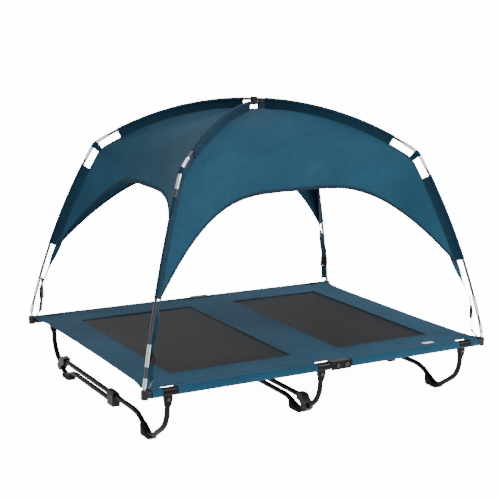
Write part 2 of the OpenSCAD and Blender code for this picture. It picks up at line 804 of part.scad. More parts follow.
module anchor_strap(end, side) {
    color("teal") at_corner(end, side) difference() {
        union() {
            webbing([ring_top_s, ring_top_z], [buckle_s, buckle_z - socket_h - 2 * body_gap]);
            translate([ring_top_s, 0, ring_top_z])
                y_rod(-strap_w / 2, strap_w / 2, ring_bore_r + strap_t);
        }
        translate([ring_top_s, 0, ring_top_z])
            y_rod(-strap_w, strap_w, ring_bore_r);
    }
}

// Flat-wire ring from the cap's lug to the strap's loop, wider at the top
module anchor_ring(end, side) {
    d = [ring_top_s - lug_s, ring_top_z - lug_z];
    h = norm(d);
    low = lug_w / 2 + 2;
    top = strap_w / 2 + 1;
    color("gray") at_corner(end, side) translate([lug_s, 0, lug_z])
        rotate([0, atan2(d[0], d[1]), 0]) rotate([90, 0, 90])
        translate([0, 0, -ring_wire / 2]) linear_extrude(ring_wire) difference() {
            polygon([[-low - ring_wire, -ring_wire / 2], [low + ring_wire, -ring_wire / 2],
                [top + ring_wire, h + ring_wire / 2], [-top - ring_wire, h + ring_wire / 2]]);
            polygon([[-low, ring_wire / 2], [low, ring_wire / 2],
                [top, h - ring_wire / 2], [-top, h - ring_wire / 2]]);
        }
}

rail_left(-1);  // front_rail_left
rail_left(1);  // back_rail_left
rail_right(-1);  // front_rail_right
rail_right(1);  // back_rail_right
corner_cap(-1, -1);  // corner_cap_front_left
corner_cap(-1, 1);  // corner_cap_back_left
corner_cap(1, -1);  // corner_cap_front_right
corner_cap(1, 1);  // corner_cap_back_right
deck_cloth_left();
deck_cloth_right();
mesh_panel(-mesh_end, mesh_in_left);  // deck_mesh_left
mesh_panel(mesh_in_right, mesh_end);  // deck_mesh_right
hinge_bracket(-1);  // hinge_bracket_front
hinge_bracket(1);  // hinge_bracket_back
hinge_pins();
leg_bracket(-leg_x, -1);  // leg_bracket_left_front
leg_bracket(-leg_x, 1);  // leg_bracket_left_back
leg_bracket(mid_leg_x, -1);  // leg_bracket_middle_front
leg_bracket(mid_leg_x, 1);  // leg_bracket_middle_back
leg_bracket(leg_x, -1);  // leg_bracket_right_front
leg_bracket(leg_x, 1);  // leg_bracket_right_back
color("silver") for (side = [-1, 1], x = [-leg_x, mid_leg_x]) leg_rivet(x, side);  // leg_rivets_left
color("silver") for (side = [-1, 1]) leg_rivet(leg_x, side);  // leg_rivets_right
for (side = [-1, 1]) anchor_strap(-1, side);  // anchor_straps_left
for (side = [-1, 1]) anchor_strap(1, side);  // anchor_straps_right
for (side = [-1, 1]) anchor_ring(-1, side);  // anchor_rings_left
for (side = [-1, 1]) anchor_ring(1, side);  // anchor_rings_right
for (side = [-1, 1]) buckle_socket(-1, side);  // buckle_sockets_left
for (side = [-1, 1]) buckle_socket(1, side);  // buckle_sockets_right
leg_upper(-leg_x, false);  // left_leg_upper
leg_lower(-leg_x, false);  // left_leg_lower
leg_hub(-leg_x, false);  // left_leg_hub
leg_clip(-leg_x, false);  // left_leg_clip
leg_feet(-leg_x, false);  // left_leg_feet
leg_upper(mid_leg_x, true);  // middle_leg_upper
leg_lower(mid_leg_x, true);  // middle_leg_lower
leg_hub(mid_leg_x, true);  // middle_leg_hub
leg_clip(mid_leg_x, true);  // middle_leg_clip
leg_feet(mid_leg_x, true);  // middle_leg_feet
leg_upper(leg_x, false);  // right_leg_upper
leg_lower(leg_x, false);  // right_leg_lower
leg_hub(leg_x, false);  // right_leg_hub
leg_clip(leg_x, false);  // right_leg_clip
leg_feet(leg_x, false);  // right_leg_feet
lower_rod(-1, -1);  // lower_rod_front_left
lower_rod(1, -1);  // lower_rod_front_right
lower_rod(-1, 1);  // lower_rod_back_left
lower_rod(1, 1);  // lower_rod_back_right
upper_rod(1, -1);  // upper_rod_over
upper_rod(1, 1);  // upper_rod_under
elbows();
ferrules();
roof_front();
roof_back();
roof_left();
roof_right();
pole_sleeves();
apex_tie();
canopy_straps();
buckle_plugs();
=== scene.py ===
import math

import bpy
from mathutils import Matrix, Vector, noise


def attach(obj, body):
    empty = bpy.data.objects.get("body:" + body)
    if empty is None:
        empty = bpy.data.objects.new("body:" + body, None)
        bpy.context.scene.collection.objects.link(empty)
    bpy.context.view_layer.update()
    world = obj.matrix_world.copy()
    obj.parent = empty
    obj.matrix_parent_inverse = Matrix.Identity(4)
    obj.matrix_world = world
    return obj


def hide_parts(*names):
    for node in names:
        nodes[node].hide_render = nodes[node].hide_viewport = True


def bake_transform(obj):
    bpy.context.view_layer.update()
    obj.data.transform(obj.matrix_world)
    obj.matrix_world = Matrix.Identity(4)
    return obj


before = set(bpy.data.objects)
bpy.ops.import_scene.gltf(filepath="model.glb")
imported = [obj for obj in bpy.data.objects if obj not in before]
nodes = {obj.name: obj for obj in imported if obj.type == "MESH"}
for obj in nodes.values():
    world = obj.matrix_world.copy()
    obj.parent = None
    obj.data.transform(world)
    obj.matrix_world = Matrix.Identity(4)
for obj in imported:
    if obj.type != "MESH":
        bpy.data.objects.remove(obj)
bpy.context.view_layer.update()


def deselectAll():
    if bpy.context.object and bpy.context.object.mode != "OBJECT":
        bpy.ops.object.mode_set(mode="OBJECT")
    bpy.ops.object.select_all(action="DESELECT")


def makeActive(piece):
    deselectAll()
    piece.select_set(True)
    bpy.context.view_layer.objects.active = piece


def applyPlace(piece):
    makeActive(piece)
    bpy.ops.object.transform_apply(location=True, rotation=True, scale=True)


def addModifier(piece, kind, **settings):
    makeActive(piece)
    modifier = piece.modifiers.new(kind.title(), kind)
    for key, value in settings.items():
        setattr(modifier, key, value)
    bpy.ops.object.modifier_apply(modifier=modifier.name)


def smooth(piece, angle=35):
    makeActive(piece)
    bpy.ops.object.shade_smooth_by_angle(angle=math.radians(angle))


def fixNormals(piece, merge=0.00002):
    makeActive(piece)
    bpy.ops.object.mode_set(mode="EDIT")
    bpy.ops.mesh.select_all(action="SELECT")
    bpy.ops.mesh.remove_doubles(threshold=merge)
    bpy.ops.mesh.normals_make_consistent(inside=False)
    bpy.ops.object.mode_set(mode="OBJECT")


def joinPieces(pieces, name):
    deselectAll()
    for piece in pieces:
        piece.select_set(True)
    bpy.context.view_layer.objects.active = pieces[0]
    if len(pieces) > 1:
        bpy.ops.object.join()
    pieces[0].name = name
    pieces[0].data.name = name
    return pieces[0]


def copyPiece(piece, matrix):
    made = piece.copy()
    made.data = piece.data.copy()
    bpy.context.scene.collection.objects.link(made)
    made.data.transform(matrix)
    return made


def giveMaterial(piece, material):
    piece.data.materials.clear()
    piece.data.materials.append(material)


def smoothStep(value):
    t = min(1.0, max(0.0, value))
    return t * t * (3 - 2 * t)


# A grid primitive whose points are then laid where shape(u, v) says, u and v from 0 to 1.
# shape gives the place and the cloth's own coordinates in metres, for the weave.
def layGrid(name, columns, rows, shape):
    deselectAll()
    bpy.ops.mesh.primitive_grid_add(x_subdivisions=columns, y_subdivisions=rows, size=2, calc_uvs=False)
    piece = bpy.context.object
    piece.name = name
    mesh = piece.data
    clothPlaces = []
    for vertex in mesh.vertices:
        u = round((vertex.co.x + 1) / 2 * columns) / columns
        v = round((vertex.co.y + 1) / 2 * rows) / rows
        place, cloth = shape(u, v)
        vertex.co = place
        clothPlaces.append(cloth)
    layer = mesh.uv_layers.new(name="clothMetres")
    for loop in mesh.loops:
        layer.data[loop.index].uv = clothPlaces[loop.vertex_index]
    return piece


def linearColour(hexText):
    values = [int(hexText[i:i + 2], 16) / 255 for i in (1, 3, 5)]
    return (*[v / 12.92 if v <= 0.04045 else ((v + 0.055) / 1.055) ** 2.4 for v in values], 1)


# settings are the node's own, values and links go to its sockets, stops are a ramp's places and colours
def addNode(tree, kind, settings=None, values=None, links=None, stops=()):
    node = tree.nodes.new("ShaderNode" + kind)
    for key, value in (settings or {}).items():
        setattr(node, key, value)
    for key, value in (values or {}).items():
        node.inputs[key].default_value = value
    for key, source in (links or {}).items():
        tree.links.new(source, node.inputs[key])
    for index, (position, colour) in enumerate(stops):
        node.color_ramp.elements[index].position = position
        node.color_ramp.elements[index].color = linearColour(colour)
    return node


def feed(tree, shader, links):
    for key, source in links.items():
        tree.links.new(source, shader.inputs[key])


def newMaterial(name, values):
    material = bpy.data.materials.new(name)
    material.use_nodes = True
    shader = material.node_tree.nodes["Principled BSDF"]
    for key, value in values.items():
        shader.inputs[key].default_value = value
    return material, material.node_tree, shader


# A band pattern repeats every 0.31416 / scale metres
def bandScale(metres):
    return 0.31416 / metres


# Plain weave on the cloth's own coordinates: warp and weft threads pass over each other in turn
def weaveHeight(tree, cloth, thread):
    warp, weft = [addNode(tree, "TexWave", {"bands_direction": axis}, {"Scale": bandScale(thread), "Distortion": 0.0},
                          {"Vector": cloth}) for axis in "XY"]
    over = addNode(tree, "TexChecker", None, {"Scale": 1 / thread}, {"Vector": cloth})
    return addNode(tree, "Mix", {"data_type": "FLOAT"}, None,
                   {"Factor": over.outputs["Fac"], "A": warp.outputs["Fac"], "B": weft.outputs["Fac"]}).outputs[0]


# Solution-dyed Oxford polyester, woven and PU coated: dull with a faint sheen, slightly uneven in tone, with painted
# shade where the weave lies low
def oxfordPolyester(name, deep, base, light, thread=0.0022, bump=0.35):
    material, tree, shader = newMaterial(name, {"Roughness": 0.82, "Sheen Weight": 0.03, "Sheen Roughness": 0.4,
                                                "Specular IOR Level": 0.12, "IOR": 1.5})
    cloth = addNode(tree, "UVMap", {"uv_map": "clothMetres"}).outputs["UV"]
    # real threads are 0.5 mm apart; drawn at about 2 mm so that they show
    height = weaveHeight(tree, cloth, thread)
    cloud = addNode(tree, "TexNoise", None, {"Scale": 5.0, "Detail": 3.0, "Roughness": 0.55}, {"Vector": cloth})
    tone = addNode(tree, "ValToRGB", links={"Fac": cloud.outputs["Fac"]}, stops=[(0.25, deep), (0.8, light)])
    slubPlace = addNode(tree, "Mapping", None, {"Scale": (40.0, 420.0, 1.0)}, {"Vector": cloth})
    slub = addNode(tree, "TexNoise", None, {"Scale": 1.0, "Detail": 2.0}, {"Vector": slubPlace.outputs["Vector"]})
    slubTone = addNode(tree, "ValToRGB", links={"Fac": slub.outputs["Fac"]}, stops=[(0.3, deep), (0.6, base)])
    mixed = addNode(tree, "Mix", {"data_type": "RGBA"}, {"Factor": 0.5},
                    {"A": tone.outputs["Color"], "B": slubTone.outputs["Color"]})
    # painted shade: the colour is darkened where the weave's threads lie low
    paintedWeaveShade = addNode(tree, "Math", {"operation": "MULTIPLY_ADD"}, {1: 0.16, 2: 0.88}, {0: height})
    colour = addNode(tree, "Mix", {"data_type": "RGBA", "blend_type": "MULTIPLY"}, {"Factor": 1.0},
                     {"A": mixed.outputs["Result"], "B": paintedWeaveShade.outputs["Value"]})
    feed(tree, shader, {"Base Color": colour.outputs["Result"]})
    soft = addNode(tree, "TexNoise", None, {"Scale": 24.0, "Detail": 3.0}, {"Vector": cloth})
    softBump = addNode(tree, "Bump", None, {"Strength": 0.25, "Distance": 0.0015}, {"Height": soft.outputs["Fac"]})
    bumpNode = addNode(tree, "Bump", None, {"Strength": bump, "Distance": 0.0004},
                       {"Height": height, "Normal": softBump.outputs["Normal"]})
    feed(tree, shader, {"Normal": bumpNode.outputs["Normal"]})
    return material


# PVC-coated polyester mesh: open plain weave of round coated yarns, darker in the holes by painted shade, and glinting
# on the yarns
def coatedMesh(name):
    material, tree, shader = newMaterial(name, {"Roughness": 0.6, "Specular IOR Level": 0.15, "IOR": 1.5})
    cloth = addNode(tree, "UVMap", {"uv_map": "clothMetres"}).outputs["UV"]
    height = weaveHeight(tree, cloth, 0.0042)  # real yarns are 1.2 mm apart; coarser so that they show
    streakPlace = addNode(tree, "Mapping", None, {"Scale": (320.0, 14.0, 1.0)}, {"Vector": cloth})
    streak = addNode(tree, "TexNoise", None, {"Scale": 1.0, "Detail": 2.0}, {"Vector": streakPlace.outputs["Vector"]})
    tone = addNode(tree, "ValToRGB", links={"Fac": streak.outputs["Fac"]}, stops=[(0.3, "#0b0f14"), (0.7, "#171d26")])
    # painted shade: the holes between the yarns are drawn near black, for the shade seen through them
    paintedHoleShade = addNode(tree, "ValToRGB", links={"Fac": height}, stops=[(0.0, "#3c3c40"), (0.75, "#ffffff")])
    colour = addNode(tree, "Mix", {"data_type": "RGBA", "blend_type": "MULTIPLY"}, {"Factor": 1.0},
                     {"A": tone.outputs["Color"], "B": paintedHoleShade.outputs["Color"]})
    feed(tree, shader, {"Base Color": colour.outputs["Result"]})
    bumpNode = addNode(tree, "Bump", None, {"Strength": 0.7, "Distance": 0.0008}, {"Height": height})
    feed(tree, shader, {"Normal": bumpNode.outputs["Normal"]})
    return material


# Woven nylon webbing or grosgrain tape: ribs across its length, with painted shade in the grooves between them
def ribbedTape(name, deep, light, rib=0.0024, roughness=0.68):
    material, tree, shader = newMaterial(name, {"Roughness": roughness, "Sheen Weight": 0.03,
                                                "Specular IOR Level": 0.15})
    cloth = addNode(tree, "UVMap", {"uv_map": "clothMetres"}).outputs["UV"]
    ribs = addNode(tree, "TexWave", {"bands_direction": "X"},
                   {"Scale": bandScale(rib), "Distortion": 0.4, "Detail": 1.0}, {"Vector": cloth})
    # painted shade: the colour follows the rib height, darker in the grooves between the ribs
    tone = addNode(tree, "ValToRGB", links={"Fac": ribs.outputs["Fac"]}, stops=[(0.15, deep), (0.85, light)])
    feed(tree, shader, {"Base Color": tone.outputs["Color"]})
    bumpNode = addNode(tree, "Bump", None, {"Strength": 0.5, "Distance": 0.0005}, {"Height": ribs.outputs["Fac"]})
    feed(tree, shader, {"Normal": bumpNode.outputs["Normal"]})
    return material


# Bonded polyester sewing thread: twisted, with a slight shine
def sewingThread(name, deep, light):
    material, tree, shader = newMaterial(name, {"Roughness": 0.5, "Specular IOR Level": 0.3})
    place = addNode(tree, "TexCoord").outputs["Object"]
    twist = addNode(tree, "TexNoise", None, {"Scale": 900.0, "Detail": 1.0}, {"Vector": place})
    tone = addNode(tree, "ValToRGB", links={"Fac": twist.outputs["Fac"]}, stops=[(0.3, deep), (0.7, light)])
    feed(tree, shader, {"Base Color": tone.outputs["Color"]})
    return material


# Powder-coated steel tube: black, baked on, with a fine orange peel that softens the highlights
def powderCoat(name, deep="#030304", light="#0b0b0c", roughness=0.3):
    material, tree, shader = newMaterial(name, {"Roughness": roughness, "IOR": 1.45, "Specular IOR Level": 0.16})
    place = addNode(tree, "TexCoord").outputs["Object"]
    peel = addNode(tree, "TexNoise", None, {"Scale": 700.0, "Detail": 2.0, "Roughness": 0.6}, {"Vector": place})
    cloud = addNode(tree, "TexNoise", None, {"Scale": 22.0, "Detail": 3.0}, {"Vector": place})
    tone = addNode(tree, "ValToRGB", links={"Fac": cloud.outputs["Fac"]}, stops=[(0.3, deep), (0.8, light)])
    feed(tree, shader, {"Base Color": tone.outputs["Color"]})
    gloss = addNode(tree, "MapRange", None, {"From Min": 0.3, "From Max": 0.7, "To Min": roughness - 0.05,
                                             "To Max": roughness + 0.1}, {"Value": cloud.outputs["Fac"]})
    feed(tree, shader, {"Roughness": gloss.outputs["Result"]})
    bumpNode = addNode(tree, "Bump", None, {"Strength": 0.25, "Distance": 0.0002}, {"Height": peel.outputs["Fac"]})
    feed(tree, shader, {"Normal": bumpNode.outputs["Normal"]})
    return material


# Injection-moulded nylon: black, satin, with the fine spark-eroded grain of the mould
def mouldedNylon(name, roughness=0.46):
    material, tree, shader = newMaterial(name, {"Roughness": roughness, "IOR": 1.5, "Specular IOR Level": 0.3})
    place = addNode(tree, "TexCoord").outputs["Object"]
    grain = addNode(tree, "TexNoise", None, {"Scale": 1300.0, "Detail": 2.0, "Roughness": 0.7}, {"Vector": place})
    cloud = addNode(tree, "TexNoise", None, {"Scale": 45.0, "Detail": 2.0}, {"Vector": place})
    tone = addNode(tree, "ValToRGB", links={"Fac": cloud.outputs["Fac"]}, stops=[(0.25, "#050506"), (0.8, "#101112")])
    feed(tree, shader, {"Base Color": tone.outputs["Color"]})
    bumpNode = addNode(tree, "Bump", None, {"Strength": 0.3, "Distance": 0.00025}, {"Height": grain.outputs["Fac"]})
    feed(tree, shader, {"Normal": bumpNode.outputs["Normal"]})
    return material


# Moulded rubber: dead matt, dusty grey-black
def mouldedRubber(name):
    material, tree, shader = newMaterial(name, {"Roughness": 0.85, "IOR": 1.52, "Specular IOR Level": 0.3})
    place = addNode(tree, "TexCoord").outputs["Object"]
    dust = addNode(tree, "TexNoise", None, {"Scale": 60.0, "Detail": 4.0}, {"Vector": place})
    tone = addNode(tree, "ValToRGB", links={"Fac": dust.outputs["Fac"]}, stops=[(0.3, "#070707"), (0.75, "#141414")])
    feed(tree, shader, {"Base Color": tone.outputs["Color"]})
    grain = addNode(tree, "TexNoise", None, {"Scale": 800.0, "Detail": 2.0}, {"Vector": place})
    bumpNode = addNode(tree, "Bump", None, {"Strength": 0.4, "Distance": 0.0004}, {"Height": grain.outputs["Fac"]})
    feed(tree, shader, {"Normal": bumpNode.outputs["Normal"]})
    return material


# Drawn aluminium or nickel-plated tube: bright, with faint drawing lines
def drawnMetal(name, deep, light, roughness=0.2, lines=260.0):
    material, tree, shader = newMaterial(name, {"Metallic": 1.0, "Roughness": roughness})
    place = addNode(tree, "TexCoord").outputs["Object"]
    stretched = addNode(tree, "Mapping", None, {"Scale": (lines, lines, lines / 14)}, {"Vector": place})
    drawn = addNode(tree, "TexNoise", None, {"Scale": 1.0, "Detail": 3.0}, {"Vector": stretched.outputs["Vector"]})
    tone = addNode(tree, "ValToRGB", links={"Fac": drawn.outputs["Fac"]}, stops=[(0.3, deep), (0.7, light)])
    feed(tree, shader, {"Base Color": tone.outputs["Color"]})
    gloss = addNode(tree, "MapRange", None, {"From Min": 0.3, "From Max": 0.7, "To Min": roughness - 0.06,
                                             "To Max": roughness + 0.1}, {"Value": drawn.outputs["Fac"]})
    feed(tree, shader, {"Roughness": gloss.outputs["Result"]})
    bumpNode = addNode(tree, "Bump", None, {"Strength": 0.12, "Distance": 0.0002}, {"Height": drawn.outputs["Fac"]})
    feed(tree, shader, {"Normal": bumpNode.outputs["Normal"]})
    return material


# Pultruded glass-fibre rod: black resin with faint lengthwise fibres under a gloss skin
def glassFibreRod(name):
    material, tree, shader = newMaterial(name, {"Roughness": 0.32, "IOR": 1.55, "Coat Weight": 0.3,
                                                "Coat Roughness": 0.12})
    place = addNode(tree, "TexCoord").outputs["Object"]
    stretched = addNode(tree, "Mapping", None, {"Scale": (900.0, 900.0, 18.0)}, {"Vector": place})
    fibre = addNode(tree, "TexNoise", None, {"Scale": 1.0, "Detail": 3.0}, {"Vector": stretched.outputs["Vector"]})
    tone = addNode(tree, "ValToRGB", links={"Fac": fibre.outputs["Fac"]}, stops=[(0.35, "#08090a"), (0.75, "#1d1f22")])
    feed(tree, shader, {"Base Color": tone.outputs["Color"]})
    bumpNode = addNode(tree, "Bump", None, {"Strength": 0.15, "Distance": 0.0002}, {"Height": fibre.outputs["Fac"]})
    feed(tree, shader, {"Normal": bumpNode.outputs["Normal"]})
    return material


print("making the materials")
deckOxford = oxfordPolyester("deckOxford", "#16364a", "#1d4359", "#254f66")
roofOxford = oxfordPolyester("roofOxford", "#173547", "#1e4155", "#264d62", bump=0.28)
pocketOxford = oxfordPolyester("pocketOxford", "#0c2231", "#102c3d", "#143749", bump=0.3)
bindingTape = ribbedTape("bindingTape", "#081a26", "#0f2a3a")
strapWebbing = ribbedTape("strapWebbing", "#102e40", "#1c4559", rib=0.003)
labelTape = ribbedTape("labelTape", "#dcdcda", "#f2f2f0", rib=0.0016, roughness=0.6)
seatMesh = coatedMesh("seatMesh")
tealThread = sewingThread("tealThread", "#142f3f", "#21475c")
tubeCoat = powderCoat("tubeCoat")
fittingCoat = powderCoat("fittingCoat", "#020203", "#09090a", 0.22)
capNylon = mouldedNylon("capNylon")
footRubber = mouldedRubber("footRubber")
brightFerrule = drawnMetal("brightFerrule", "#c4c7ca", "#eef0f2", 0.16)
blackZincRivet = drawnMetal("blackZincRivet", "#2c2d2f", "#4c4e50", 0.3)  # black-passivated zinc plate
platedWire = drawnMetal("platedWire", "#9fa2a5", "#dadcde", 0.18)
fibreRod = glassFibreRod("fibreRod")


def finishCadNodes():
    for name, node in nodes.items():
        if "rail" in name or name.endswith(("_leg_upper", "_leg_lower")):
            material = tubeCoat
        elif "bracket" in name:
            material = fittingCoat
        elif name == "hinge_pins" or "rivets" in name:
            material = blackZincRivet
        elif "feet" in name:
            material = footRubber
        elif "rings" in name:
            material = platedWire
        elif name in ("elbows", "ferrules"):
            material = brightFerrule
        elif "rod" in name:
            material = fibreRod
        else:
            material = capNylon
        node.data.materials.clear()
        node.data.materials.append(material)


finishCadNodes()

view = {"place": (-1.931, -3.356, 1.235), "ahead": (0.4874, 0.8504, -0.1982), "roll": 0.7225, "lens": 86.64}


def makeCamera():
    ahead = Vector(view["ahead"]).normalized()
    right = ahead.cross(Vector((0, 0, 1))).normalized()
    up = right.cross(ahead)
    roll = math.radians(view["roll"])
    right, up = right * math.cos(roll) + up * math.sin(roll), up * math.cos(roll) - right * math.sin(roll)
    data = bpy.data.cameras.new("camera")
    data.lens = view["lens"]
    data.sensor_width = 36
    data.clip_end = 200
    camera = bpy.data.objects.new("camera", data)
    bpy.context.scene.collection.objects.link(camera)
    turned = Matrix((right, up, -ahead)).transposed().to_4x4()
    camera.matrix_world = Matrix.Translation(view["place"]) @ turned
    bpy.context.scene.camera = camera


studio = {"sky": "#ffffff", "skyStrength": 0.8, "shownSky": 16.0,
          "floor": "#f8f8f8", "floorGlow": 0.8, "shownGlow": 14.0, "floorRadius": 60}
# each light: place, target, size, power
lights = {"keyLight": ((2.6, -3.4, 3.2), (0, 0, 0.4), (2.2, 2.2), 190),
          "topLight": ((0.4, -0.6, 4.2), (0, 0, 0.2), (3.0, 2.4), 60),
          "backLight": ((0.8, 3.8, 3.0), (0, 0, 0.5), (3.0, 2.0), 40)}


def makeLight(name, place, target, size, power):
    data = bpy.data.lights.new(name, "AREA")
    data.shape = "RECTANGLE"
    data.size, data.size_y = size
    data.energy = power
    light = bpy.data.objects.new(name, data)
    bpy.context.scene.collection.objects.link(light)
    light.location = place
    light.rotation_euler = (Vector(target) - Vector(place)).to_track_quat("-Z", "Y").to_euler()


# Paper that is seen brighter than it lights, as an overlit studio roll is
def shownBrighter(tree, lit, shown):
    seen = addNode(tree, "LightPath").outputs["Is Camera Ray"]
    return addNode(tree, "MapRange", None, {"To Min": lit, "To Max": shown}, {"Value": seen}).outputs["Result"]


def makeStudio():
    deselectAll()
    bpy.ops.mesh.primitive_circle_add(vertices=64, radius=studio["floorRadius"], fill_type="NGON", location=(0, 0, 0))
    floor = bpy.context.object
    floor.name = "floor"
    material, tree, shader = newMaterial("studioFloor", {"Base Color": linearColour(studio["floor"]), "Roughness": 0.95,
                                                            "Specular IOR Level": 0.1, "Emission Color": (1, 1, 1, 1)})
    glow = shownBrighter(tree, studio["floorGlow"], studio["shownGlow"])
    feed(tree, shader, {"Emission Strength": glow})
    floor.data.materials.append(material)
    world = bpy.data.worlds.new("studio")
    bpy.context.scene.world = world
    world.use_nodes = True
    background = world.node_tree.nodes["Background"]
    background.inputs["Color"].default_value = linearColour(studio["sky"])
    strength = shownBrighter(world.node_tree, studio["skyStrength"], studio["shownSky"])
    feed(world.node_tree, background, {"Strength": strength})
    for name, values in lights.items():
        makeLight(name, *values)


makeCamera()
makeStudio()

# Where the bed and the poles are, in metres, as in the CAD
bed = {"length": 1.220, "railSpan": 0.914, "railZ": 0.180, "capBoss": 0.021, "hingeX": 0.0655, "clothZ": 0.1885}
pole = {"elbowIn": 0.213, "elbowUp": 0.554, "bow": 0.020, "bend": 29.5, "elbowR": 0.100, "step": 0.0105,
        "footZ": 0.20595, "seam": 0.027}
capX = bed["length"] / 2 - bed["capBoss"] / 2
railY = bed["railSpan"] / 2
footS = math.hypot(capX, railY)
diagonal = math.atan2(railY, capX)


def polePlan():
    chord = math.hypot(pole["elbowIn"], pole["elbowUp"])
    lean = math.atan2(pole["elbowIn"], pole["elbowUp"])
    lowerR = chord * chord / (8 * pole["bow"]) + pole["bow"] / 2
    half = math.asin(chord / 2 / lowerR)
    footA, elbowA = lean - half, lean + half
    bend = math.radians(pole["bend"])
    crownA = elbowA + bend
    elbowR = pole["elbowR"]
    elbowS, elbowZ = footS - pole["elbowIn"], pole["footZ"] + pole["elbowUp"]
    crownS = elbowS - 2 * elbowR * math.sin(bend / 2) * math.sin(elbowA + bend / 2)
    crownZ = elbowZ + 2 * elbowR * math.sin(bend / 2) * math.cos(elbowA + bend / 2)
    upperR = crownS / math.cos(crownA)
    return {"lowerR": lowerR, "upperR": upperR, "elbowR": elbowR, "crownA": crownA, "elbowA": elbowA,
            "lowerC": (footS - lowerR * math.cos(footA), pole["footZ"] - lowerR * math.sin(footA)),
            "elbowC": (elbowS - elbowR * math.cos(elbowA), elbowZ - elbowR * math.sin(elbowA)),
            "upperC": (0.0, crownZ - upperR * math.sin(crownA)),
            "upperL": upperR * (math.pi / 2 - crownA), "elbowL": elbowR * bend}


plan = polePlan()
plan["elbowQ"] = plan["upperL"] + plan["elbowL"]


# Distance from the middle, height and normal angle of the pole, at length q from the apex and off inside its line
def poleAt(q, off=0.0):
    if q < plan["upperL"]:
        centre, radius, angle = plan["upperC"], plan["upperR"], math.pi / 2 - q / plan["upperR"]
    elif q < plan["elbowQ"]:
        centre, radius, angle = plan["elbowC"], plan["elbowR"], plan["crownA"] - (q - plan["upperL"]) / plan["elbowR"]
    else:
        centre, radius, angle = plan["lowerC"], plan["lowerR"], plan["elbowA"] - (q - plan["elbowQ"]) / plan["lowerR"]
    return centre[0] + (radius - off) * math.cos(angle), centre[1] + (radius - off) * math.sin(angle), angle


def stepOf(end, side):
    return pole["step"] / 2 if end * side < 0 else -pole["step"] / 2


# A point of a corner's diagonal plane: s from the middle, z up, across to the side of the plane
def cornerPoint(end, side, s, z, across=0.0):
    out = Vector((end * math.cos(diagonal), side * math.sin(diagonal), 0))
    over = Vector((-out.y, out.x, 0))
    return out * s + over * across + Vector((0, 0, z))


corners = [(-1, -1), (1, -1), (-1, 1), (1, 1)]


# One thread loop, copied along a line
stitch = {"length": 0.0036, "pitch": 0.0052, "width": 0.0011, "height": 0.0007}


def makeStitch():
    deselectAll()
    bpy.ops.mesh.primitive_ico_sphere_add(subdivisions=1, radius=0.5)
    made = bpy.context.object
    made.scale = (stitch["length"], stitch["width"], stitch["height"])
    applyPlace(made)
    return made


def walkLine(line, pitch):
    steps, carried = [], 0.0
    for i in range(len(line) - 1):
        a, b = line[i][0], line[i + 1][0]
        long = (b - a).length
        if long < 1e-7:
            continue
        t = pitch - carried
        while t <= long:
            share = t / long
            steps.append((a.lerp(b, share), (b - a) / long, line[i][1].lerp(line[i + 1][1], share)))
            t += pitch
        carried = (carried + long) % pitch
    return steps


# lines are lists of (point, normal); the stitches lie on the surface, along the line
def stitchRows(name, lines):
    one = makeStitch()
    corner = [vertex.co.copy() for vertex in one.data.vertices]
    sides = [tuple(face.vertices) for face in one.data.polygons]
    points, faces = [], []
    for line in lines:
        for place, along, normal in walkLine(line, stitch["pitch"]):
            side = normal.cross(along).normalized()
            turned = Matrix((along, side, along.cross(side))).transposed()
            first = len(points)
            points += [place + turned @ co for co in corner]
            faces += [tuple(first + i for i in face) for face in sides]
    mesh = bpy.data.meshes.new(name)
    mesh.from_pydata(points, [], faces)
    bpy.data.objects.remove(one)
    piece = bpy.data.objects.new(name, mesh)
    bpy.context.scene.collection.objects.link(piece)
    giveMaterial(piece, tealThread)
    return piece


# The deck cloth is one piece over both rails
deck = {"thickness": 0.0014, "sleeveR": 0.0124, "returnIn": 0.030, "hem": 0.022, "flare": 0.010, "end": 0.585,
        "edgeY": 0.4396, "meshY": 0.340, "meshEnd": 0.465, "meshLeft": (-0.465, -0.055), "meshRight": (0.119, 0.465),
        "notches": ((-0.548, -0.500), (-0.0365, 0.0865), (0.500, 0.548))}
sheetZ = bed["clothZ"] + 0.0010


# Half of the cross-section, from the middle of the bed out over the rail and back under: (y, z, outward normal)
def deckProfile():
    across = (0.0, 0.06, 0.12, 0.18, 0.24, 0.29, 0.325, deck["meshY"], 0.3515, 0.365, 0.385, 0.4, 0.415, 0.425, 0.430,
              0.4345, deck["edgeY"])
    top = [(y, sheetZ) for y in across]
    around = []
    radius = deck["sleeveR"]
    for i in range(17):
        angle = math.radians(112 - i * 13.5)
        around.append((railY + radius * math.cos(angle), bed["railZ"] + radius * math.sin(angle)))
    under = [(railY - 0.0170, sheetZ - 0.0100), (railY - 0.0245, sheetZ - 0.0026),
             (railY - deck["returnIn"], sheetZ - 0.0018)]
    return top + around + under


def deckColumns():
    marks = [-0.585, -0.5797, -0.548, -0.500, -0.465, -0.055, -0.0365, 0.0865, 0.119, 0.465, 0.500, 0.548, 0.5797,
             0.585]
    columns = []
    for a, b in zip(marks, marks[1:]):
        parts = max(1, round((b - a) / 0.0125))
        columns += [a + (b - a) * i / parts for i in range(parts)]
    return columns + [marks[-1]]


def deckRise(x, y):
    rise = 0.0
    # pull lines at the notches and the corners
    for mark in (*(x for notch in deck["notches"] for x in notch), -deck["end"], deck["end"]):
        for side in (-1, 1):
            dx, dy = x - mark, y - side * deck["edgeY"]
            far = math.hypot(dx, dy)
            pull = math.sin(7.0 * math.atan2(dy, dx) + 3 * mark) * math.exp(-(far / 0.055) ** 2)
            rise += 0.0011 * pull * min(1, far / 0.012)
    rise += 0.0009 * noise.noise(Vector((x * 7, y * 5, 1.3)))
    if abs(y) > railY - deck["returnIn"] - 0.004:
        rise += 0.0008  # two layers where the sleeve is stitched down
    edge = min(abs(abs(x) - deck["meshEnd"]), abs(abs(y) - deck["meshY"]))
    if edge < 0.010:
        rise += 0.0005 * (1 - edge / 0.010)
    return rise


